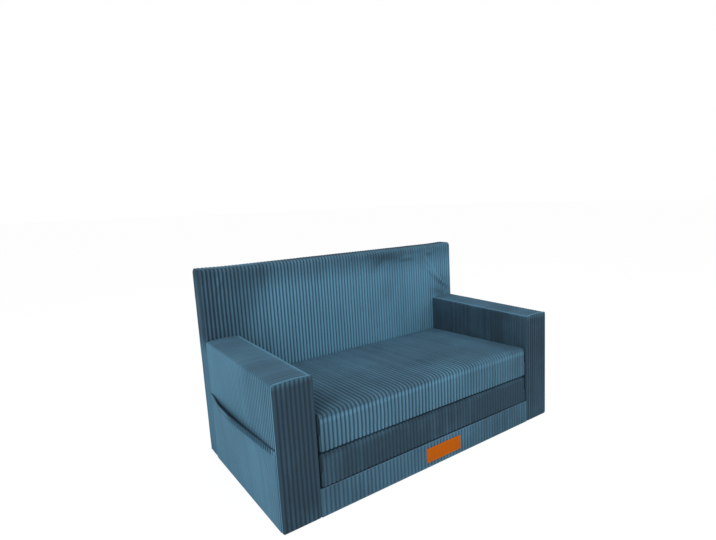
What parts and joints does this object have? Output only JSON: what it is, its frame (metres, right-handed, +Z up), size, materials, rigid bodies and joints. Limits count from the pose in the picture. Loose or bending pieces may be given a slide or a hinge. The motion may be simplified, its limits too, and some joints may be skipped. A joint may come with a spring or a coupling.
{
  "type": "fold-out foam sofa",
  "caption": "Low child's sofa of corduroy-covered foam, with arm pockets and a seat that folds out forwards into a lounger.",
  "frame": {"origin": "centre of the shell's underside, on the surface that the sofa stands on", "axes": "+X along the width, to the right as seen from the front; +Y from the front towards the back rest; +Z up"},
  "size_m": [0.926, 0.5241, 0.542],
  "materials": {
    "corduroy": "wide-ribbed cotton corduroy in a greyed teal blue, the pile lighter on the ribs and dark in the grooves",
    "foam": "cream polyurethane foam, cut faces with fine cells",
    "lining": "plain dark navy polyester lining",
    "sole": "black non-slip cloth with small raised dots",
    "label": "bare orange-tan leather patch with stitched edge",
    "zip_tape": "dark navy woven zip tape",
    "zip_coil": "dark navy nylon coil",
    "zip_slider": "grey painted die-cast slider with no pull tab"
  },
  "bodies": {
    "shell": {"sole_cloth": "sole", "base_foam": "foam", "base_deck": "lining", "base_front_panel": "corduroy", "label_patch": "label", "left_arm_foam": "foam", "right_arm_foam": "foam", "left_arm_wrap": "corduroy", "right_arm_wrap": "corduroy", "left_arm_front_panel": "corduroy", "right_arm_front_panel": "corduroy", "left_arm_rear_lining": "lining", "right_arm_rear_lining": "lining", "left_pocket_panel": "corduroy", "right_pocket_panel": "corduroy", "left_pocket_hem": "corduroy", "right_pocket_hem": "corduroy", "back_foam": "foam", "back_wrap": "corduroy", "left_back_end_panel": "corduroy", "right_back_end_panel": "corduroy", "back_zip_tape": "zip_tape", "back_zip_coil": "zip_coil", "front_hinge_strip": "lining"},
    "lower_pad": {"lower_pad_foam": "foam", "lower_pad_cover": "corduroy", "lower_pad_left_gusset": "corduroy", "lower_pad_right_gusset": "corduroy", "lower_pad_zip_tape": "zip_tape", "lower_pad_zip_coil": "zip_coil", "rear_hinge_band": "lining"},
    "upper_pad": {"upper_pad_foam": "foam", "upper_pad_cover": "corduroy", "upper_pad_left_gusset": "corduroy", "upper_pad_right_gusset": "corduroy", "upper_pad_zip_tape": "zip_tape", "upper_pad_zip_coil": "zip_coil"},
    "back_slider": {"back_zip_slider": "zip_slider"},
    "lower_slider": {"lower_pad_zip_slider": "zip_slider"},
    "upper_slider": {"upper_pad_zip_slider": "zip_slider"}
  },
  "joints": [
    {"name": "fold_lower", "type": "hinge", "parent": "shell", "child": "lower_pad", "pos_m": [0, -0.2624, 0.07715], "axis": [1, 0, 0], "range_deg": [0, 180], "deforming": ["front_hinge_strip"]},
    {"name": "fold_upper", "type": "hinge", "parent": "lower_pad", "child": "upper_pad", "pos_m": [0, 0.188, 0.152], "axis": [1, 0, 0], "range_deg": [-180, 0], "deforming": ["rear_hinge_band"]},
    {"name": "back_zip", "type": "slide", "parent": "shell", "child": "back_slider", "axis": [1, 0, 0], "range_m": [0, 0.6854]},
    {"name": "lower_pad_zip", "type": "slide", "parent": "lower_pad", "child": "lower_slider", "axis": [0, -1, 0], "range_m": [0, 0.3059]},
    {"name": "upper_pad_zip", "type": "slide", "parent": "upper_pad", "child": "upper_slider", "axis": [0, -1, 0], "range_m": [0, 0.3059]}
  ],
  "couplings": [
    {"joint": "fold_upper", "follows": "fold_lower", "ratio": -1}
  ]
}
